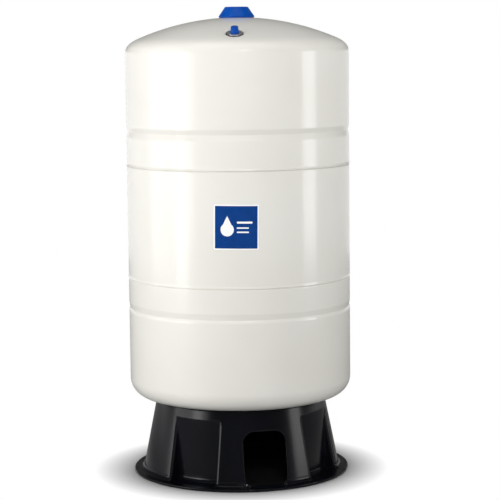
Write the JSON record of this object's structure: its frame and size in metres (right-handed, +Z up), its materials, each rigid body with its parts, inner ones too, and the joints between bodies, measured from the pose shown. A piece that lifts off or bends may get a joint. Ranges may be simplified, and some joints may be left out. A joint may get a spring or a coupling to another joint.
{
  "type": "pressure tank",
  "caption": "Free-standing vertical diaphragm pressure tank: domed steel shell with rolled beads, black moulded stand, capped air valve and threaded water connection.",
  "frame": {"origin": "on the floor, under the middle of the stand and of the tank", "axes": "+Z up along the tank's axis; -Y towards the front, where the label and the air valve are; the pipe window is turned 16 degrees from -Y towards +X"},
  "size_m": [0.3916, 0.3914, 0.8128],
  "materials": {
    "shell_paint": "gloss",
    "zinc_steel": "satin",
    "stainless": "satin",
    "nickel": "polished",
    "brass": "satin",
    "spring_steel": "satin",
    "rubber": "matte",
    "white_plastic": "matte",
    "black_plastic": "semi-gloss",
    "blue_plastic": "gloss",
    "label_print": "gloss"
  },
  "bodies": {
    "tank": {"upper_head": "shell_paint", "middle_shell": "shell_paint", "lower_head": "shell_paint", "apex_boss": "zinc_steel", "valve_body": "brass", "valve_inner_seal": "rubber", "valve_outer_seal": "rubber", "valve_nut": "nickel", "core_barrel": "brass", "core_seal": "white_plastic", "core_spring": "spring_steel", "liner": "white_plastic", "diaphragm": "rubber", "clamp_ring": "zinc_steel", "connection_body": "stainless", "connection_o_ring": "rubber", "connection_washer": "stainless", "connection_locknut": "stainless", "base_stand": "black_plastic", "base_studs": "zinc_steel", "base_washers": "zinc_steel", "base_nuts": "zinc_steel", "label": "label_print"},
    "top_cap": {"top_cap": "blue_plastic"},
    "cap_seal": {"cap_seal": "rubber"},
    "valve_cap": {"valve_cap": "blue_plastic"},
    "core_pin": {"core_pin": "spring_steel"}
  },
  "joints": [
    {"name": "top_cap_pull", "type": "slide", "parent": "tank", "child": "top_cap", "axis": [0, 0, 1], "range_m": [0, 0.03]},
    {"name": "valve_cap_lift", "type": "slide", "parent": "tank", "child": "cap_seal", "axis": [0, -0.3537, 0.9353], "range_m": [0, 0.00397]},
    {"name": "valve_cap_turn", "type": "hinge", "parent": "cap_seal", "child": "valve_cap", "pos_m": [0, -0.15622, 0.77538], "axis": [0, -0.3537, 0.9353], "range_deg": [0, 1801]},
    {"name": "core_pin_press", "type": "slide", "parent": "tank", "child": "core_pin", "axis": [0, 0.3537, -0.9353], "range_m": [0, 0.0015], "stiffness_N_per_m": 1200, "springref_m": -0.003, "deforming": ["core_spring"]}
  ],
  "couplings": [
    {"joint": "valve_cap_turn", "follows": "valve_cap_lift", "rad_per_m": 7913.3}
  ]
}
